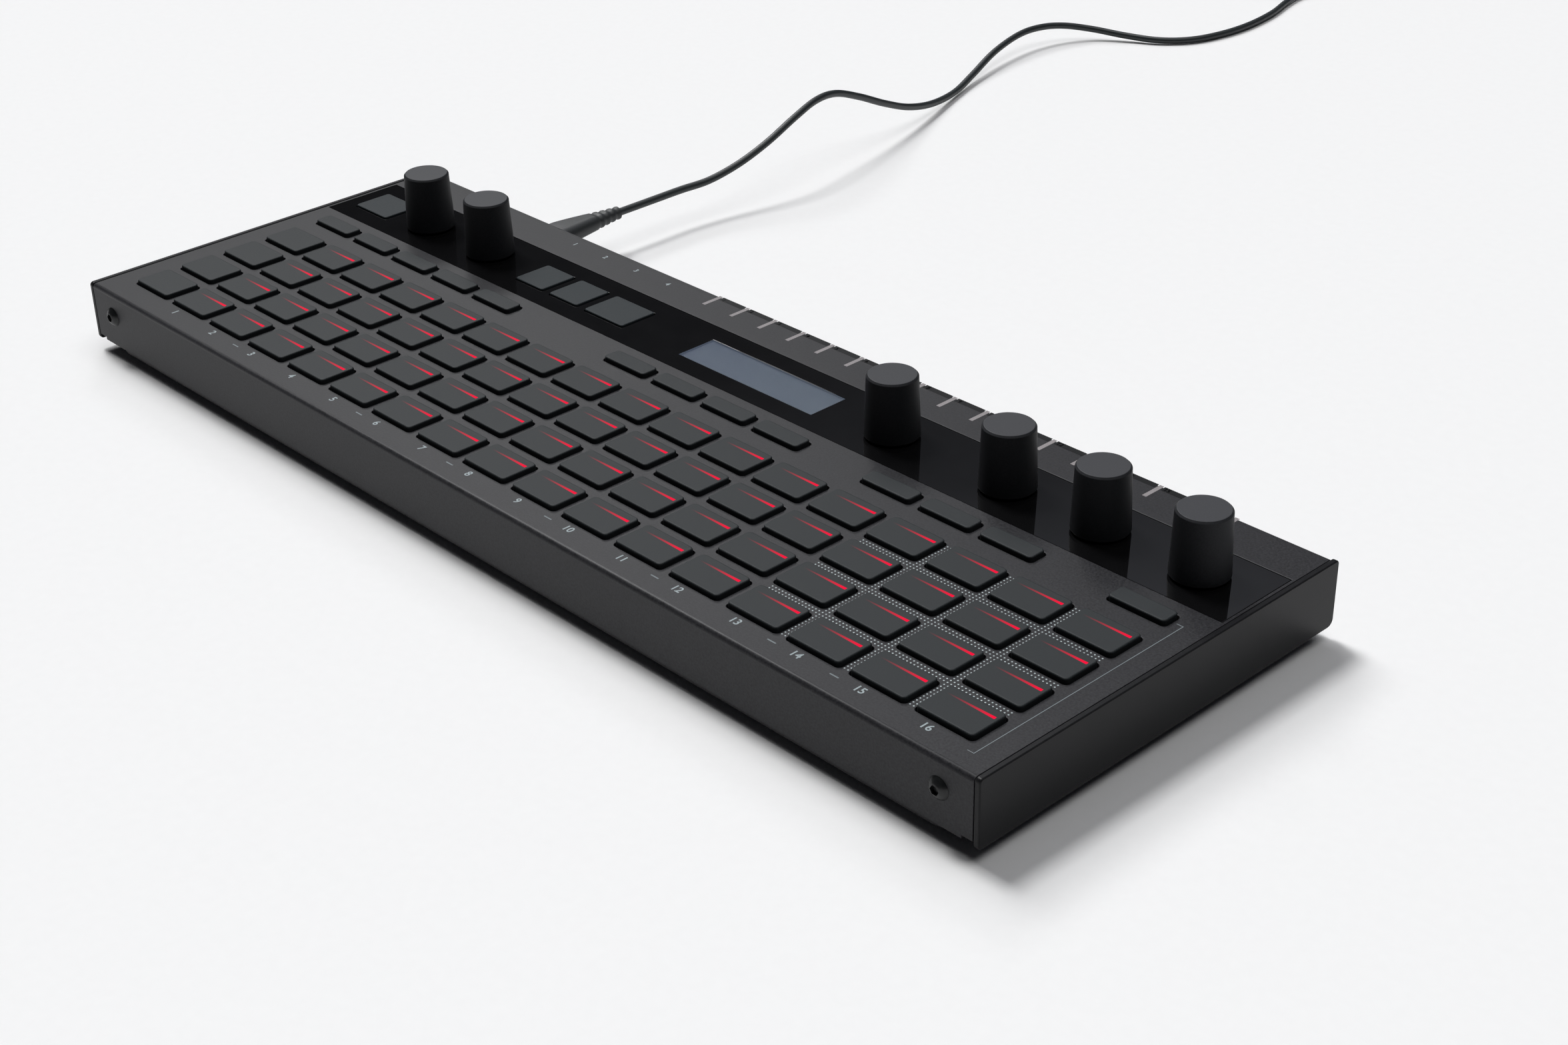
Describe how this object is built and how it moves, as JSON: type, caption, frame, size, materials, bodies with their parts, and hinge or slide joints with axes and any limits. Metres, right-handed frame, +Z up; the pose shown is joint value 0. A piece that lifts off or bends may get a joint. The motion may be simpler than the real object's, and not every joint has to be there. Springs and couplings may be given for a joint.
{
  "type": "step sequencer",
  "caption": "Flat desktop step sequencer with rows of lit rubber pads, narrow buttons, tall knobs and a small display, rear jacks and a plugged-in cord.",
  "frame": {"origin": "on the table under the middle of the case", "axes": "+X to the right of the player, +Y to the back, +Z up"},
  "size_m": [0.3535, 0.5354, 0.0372],
  "materials": {
    "case_paint": "fine textured charcoal powder coat",
    "pad_rubber": "satin silicone",
    "panel_gloss": "polished",
    "knob_plastic": "soft matte",
    "button_plastic": "translucent satin",
    "display_lens": "clear",
    "display_glass": "lit",
    "board": "solder mask",
    "mat_silicone": "translucent silicone",
    "steel": "nickel plated",
    "jack_plastic": "moulded",
    "black_screw": "black oxide",
    "foot_rubber": "matte",
    "cord_rubber": "satin",
    "tie_fabric": "hook and loop"
  },
  "bodies": {
    "case": {"top_cover": "case_paint", "left_cheek": "case_paint", "right_cheek": "case_paint", "base_pan": "case_paint", "feet": "foot_rubber", "front_screws": "black_screw", "chassis_screws": "black_screw", "control_panel": "panel_gloss", "display_lens": "display_lens", "display_module": "display_glass", "panel_board": "board", "jack_board": "board", "dome_mat": "mat_silicone", "encoders": "steel", "rear_jacks": "jack_plastic", "jack_nuts": "steel", "usb_socket": "steel", "usb_plug": "cord_rubber", "cord_run": "cord_rubber", "cord_coil": "cord_rubber", "coil_tie": "tie_fabric", "far_plug": "cord_rubber"},
    "knob_1_unit": {"shaft_1": "steel", "knob_1": "knob_plastic"},
    "knob_2_unit": {"shaft_2": "steel", "knob_2": "knob_plastic"},
    "knob_3_unit": {"shaft_3": "steel", "knob_3": "knob_plastic"},
    "knob_4_unit": {"shaft_4": "steel", "knob_4": "knob_plastic"},
    "knob_5_unit": {"shaft_5": "steel", "knob_5": "knob_plastic"},
    "knob_6_unit": {"shaft_6": "steel", "knob_6": "knob_plastic"},
    "narrow_button_1_unit": {"narrow_button_1": "pad_rubber"},
    "narrow_button_2_unit": {"narrow_button_2": "pad_rubber"},
    "narrow_button_3_unit": {"narrow_button_3": "pad_rubber"},
    "narrow_button_4_unit": {"narrow_button_4": "pad_rubber"},
    "narrow_button_5_unit": {"narrow_button_5": "pad_rubber"},
    "narrow_button_6_unit": {"narrow_button_6": "pad_rubber"},
    "narrow_button_7_unit": {"narrow_button_7": "pad_rubber"},
    "narrow_button_8_unit": {"narrow_button_8": "pad_rubber"},
    "narrow_button_9_unit": {"narrow_button_9": "pad_rubber"},
    "narrow_button_10_unit": {"narrow_button_10": "pad_rubber"},
    "narrow_button_11_unit": {"narrow_button_11": "pad_rubber"},
    "narrow_button_12_unit": {"narrow_button_12": "pad_rubber"},
    "narrow_button_13_unit": {"narrow_button_13": "pad_rubber"},
    "panel_button_1_unit": {"panel_button_1": "button_plastic"},
    "panel_button_2_unit": {"panel_button_2": "button_plastic"},
    "panel_button_3_unit": {"panel_button_3": "button_plastic"},
    "panel_button_4_unit": {"panel_button_4": "button_plastic"},
    "track_pads_unit": {"track_pads": "pad_rubber"},
    "pads_row_1_left_unit": {"pads_row_1_left": "pad_rubber"},
    "pads_row_2_left_unit": {"pads_row_2_left": "pad_rubber"},
    "pads_row_3_left_unit": {"pads_row_3_left": "pad_rubber"},
    "pads_row_4_left_unit": {"pads_row_4_left": "pad_rubber"},
    "pads_row_1_right_unit": {"pads_row_1_right": "pad_rubber"},
    "pads_row_2_right_unit": {"pads_row_2_right": "pad_rubber"},
    "pads_row_3_right_unit": {"pads_row_3_right": "pad_rubber"},
    "pads_row_4_right_unit": {"pads_row_4_right": "pad_rubber"}
  },
  "joints": [
    {"name": "knob_1_turn", "type": "hinge", "parent": "case", "child": "knob_1_unit", "pos_m": [-0.13244, 0.0327, 0.0203], "axis": [0, 0, 1], "continuous": true},
    {"name": "knob_2_turn", "type": "hinge", "parent": "case", "child": "knob_2_unit", "pos_m": [-0.10406, 0.0327, 0.0203], "axis": [0, 0, 1], "continuous": true},
    {"name": "knob_3_turn", "type": "hinge", "parent": "case", "child": "knob_3_unit", "pos_m": [0.05676, 0.0327, 0.0203], "axis": [0, 0, 1], "continuous": true},
    {"name": "knob_4_turn", "type": "hinge", "parent": "case", "child": "knob_4_unit", "pos_m": [0.0946, 0.0327, 0.0203], "axis": [0, 0, 1], "continuous": true},
    {"name": "knob_5_turn", "type": "hinge", "parent": "case", "child": "knob_5_unit", "pos_m": [0.12298, 0.0327, 0.0203], "axis": [0, 0, 1], "continuous": true},
    {"name": "knob_6_turn", "type": "hinge", "parent": "case", "child": "knob_6_unit", "pos_m": [0.15136, 0.0327, 0.0203], "axis": [0, 0, 1], "continuous": true},
    {"name": "narrow_button_1_unit_press", "type": "slide", "parent": "case", "child": "narrow_button_1_unit", "axis": [0, 0, -1], "range_m": [0, 0.0012], "stiffness_N_per_m": 600, "springref_m": -0.0004, "deforming": ["dome_mat"]},
    {"name": "narrow_button_2_unit_press", "type": "slide", "parent": "case", "child": "narrow_button_2_unit", "axis": [0, 0, -1], "range_m": [0, 0.0012], "stiffness_N_per_m": 600, "springref_m": -0.0004, "deforming": ["dome_mat"]},
    {"name": "narrow_button_3_unit_press", "type": "slide", "parent": "case", "child": "narrow_button_3_unit", "axis": [0, 0, -1], "range_m": [0, 0.0012], "stiffness_N_per_m": 600, "springref_m": -0.0004, "deforming": ["dome_mat"]},
    {"name": "narrow_button_4_unit_press", "type": "slide", "parent": "case", "child": "narrow_button_4_unit", "axis": [0, 0, -1], "range_m": [0, 0.0012], "stiffness_N_per_m": 600, "springref_m": -0.0004, "deforming": ["dome_mat"]},
    {"name": "narrow_button_5_unit_press", "type": "slide", "parent": "case", "child": "narrow_button_5_unit", "axis": [0, 0, -1], "range_m": [0, 0.0012], "stiffness_N_per_m": 600, "springref_m": -0.0004, "deforming": ["dome_mat"]},
    {"name": "narrow_button_6_unit_press", "type": "slide", "parent": "case", "child": "narrow_button_6_unit", "axis": [0, 0, -1], "range_m": [0, 0.0012], "stiffness_N_per_m": 600, "springref_m": -0.0004, "deforming": ["dome_mat"]},
    {"name": "narrow_button_7_unit_press", "type": "slide", "parent": "case", "child": "narrow_button_7_unit", "axis": [0, 0, -1], "range_m": [0, 0.0012], "stiffness_N_per_m": 600, "springref_m": -0.0004, "deforming": ["dome_mat"]},
    {"name": "narrow_button_8_unit_press", "type": "slide", "parent": "case", "child": "narrow_button_8_unit", "axis": [0, 0, -1], "range_m": [0, 0.0012], "stiffness_N_per_m": 600, "springref_m": -0.0004, "deforming": ["dome_mat"]},
    {"name": "narrow_button_9_unit_press", "type": "slide", "parent": "case", "child": "narrow_button_9_unit", "axis": [0, 0, -1], "range_m": [0, 0.0012], "stiffness_N_per_m": 600, "springref_m": -0.0004, "deforming": ["dome_mat"]},
    {"name": "narrow_button_10_unit_press", "type": "slide", "parent": "case", "child": "narrow_button_10_unit", "axis": [0, 0, -1], "range_m": [0, 0.0012], "stiffness_N_per_m": 600, "springref_m": -0.0004, "deforming": ["dome_mat"]},
    {"name": "narrow_button_11_unit_press", "type": "slide", "parent": "case", "child": "narrow_button_11_unit", "axis": [0, 0, -1], "range_m": [0, 0.0012], "stiffness_N_per_m": 600, "springref_m": -0.0004, "deforming": ["dome_mat"]},
    {"name": "narrow_button_12_unit_press", "type": "slide", "parent": "case", "child": "narrow_button_12_unit", "axis": [0, 0, -1], "range_m": [0, 0.0012], "stiffness_N_per_m": 600, "springref_m": -0.0004, "deforming": ["dome_mat"]},
    {"name": "narrow_button_13_unit_press", "type": "slide", "parent": "case", "child": "narrow_button_13_unit", "axis": [0, 0, -1], "range_m": [0, 0.0012], "stiffness_N_per_m": 600, "springref_m": -0.0004, "deforming": ["dome_mat"]},
    {"name": "panel_button_1_unit_press", "type": "slide", "parent": "case", "child": "panel_button_1_unit", "axis": [0, 0, -1], "range_m": [0, 0.0008], "stiffness_N_per_m": 800, "springref_m": -0.0004, "deforming": ["dome_mat"]},
    {"name": "panel_button_2_unit_press", "type": "slide", "parent": "case", "child": "panel_button_2_unit", "axis": [0, 0, -1], "range_m": [0, 0.0008], "stiffness_N_per_m": 800, "springref_m": -0.0004, "deforming": ["dome_mat"]},
    {"name": "panel_button_3_unit_press", "type": "slide", "parent": "case", "child": "panel_button_3_unit", "axis": [0, 0, -1], "range_m": [0, 0.0008], "stiffness_N_per_m": 800, "springref_m": -0.0004, "deforming": ["dome_mat"]},
    {"name": "panel_button_4_unit_press", "type": "slide", "parent": "case", "child": "panel_button_4_unit", "axis": [0, 0, -1], "range_m": [0, 0.0008], "stiffness_N_per_m": 800, "springref_m": -0.0004, "deforming": ["dome_mat"]},
    {"name": "track_pads_unit_press", "type": "slide", "parent": "case", "child": "track_pads_unit", "axis": [0, 0, -1], "range_m": [0, 0.0012], "stiffness_N_per_m": 1600, "springref_m": -0.0004, "deforming": ["dome_mat"]},
    {"name": "pads_row_1_left_unit_press", "type": "slide", "parent": "case", "child": "pads_row_1_left_unit", "axis": [0, 0, -1], "range_m": [0, 0.0012], "stiffness_N_per_m": 2400, "springref_m": -0.0004, "deforming": ["dome_mat"]},
    {"name": "pads_row_2_left_unit_press", "type": "slide", "parent": "case", "child": "pads_row_2_left_unit", "axis": [0, 0, -1], "range_m": [0, 0.0012], "stiffness_N_per_m": 2400, "springref_m": -0.0004, "deforming": ["dome_mat"]},
    {"name": "pads_row_3_left_unit_press", "type": "slide", "parent": "case", "child": "pads_row_3_left_unit", "axis": [0, 0, -1], "range_m": [0, 0.0012], "stiffness_N_per_m": 2400, "springref_m": -0.0004, "deforming": ["dome_mat"]},
    {"name": "pads_row_4_left_unit_press", "type": "slide", "parent": "case", "child": "pads_row_4_left_unit", "axis": [0, 0, -1], "range_m": [0, 0.0012], "stiffness_N_per_m": 2400, "springref_m": -0.0004, "deforming": ["dome_mat"]},
    {"name": "pads_row_1_right_unit_press", "type": "slide", "parent": "case", "child": "pads_row_1_right_unit", "axis": [0, 0, -1], "range_m": [0, 0.0012], "stiffness_N_per_m": 2400, "springref_m": -0.0004, "deforming": ["dome_mat"]},
    {"name": "pads_row_2_right_unit_press", "type": "slide", "parent": "case", "child": "pads_row_2_right_unit", "axis": [0, 0, -1], "range_m": [0, 0.0012], "stiffness_N_per_m": 2400, "springref_m": -0.0004, "deforming": ["dome_mat"]},
    {"name": "pads_row_3_right_unit_press", "type": "slide", "parent": "case", "child": "pads_row_3_right_unit", "axis": [0, 0, -1], "range_m": [0, 0.0012], "stiffness_N_per_m": 2400, "springref_m": -0.0004, "deforming": ["dome_mat"]},
    {"name": "pads_row_4_right_unit_press", "type": "slide", "parent": "case", "child": "pads_row_4_right_unit", "axis": [0, 0, -1], "range_m": [0, 0.0012], "stiffness_N_per_m": 2400, "springref_m": -0.0004, "deforming": ["dome_mat"]}
  ]
}
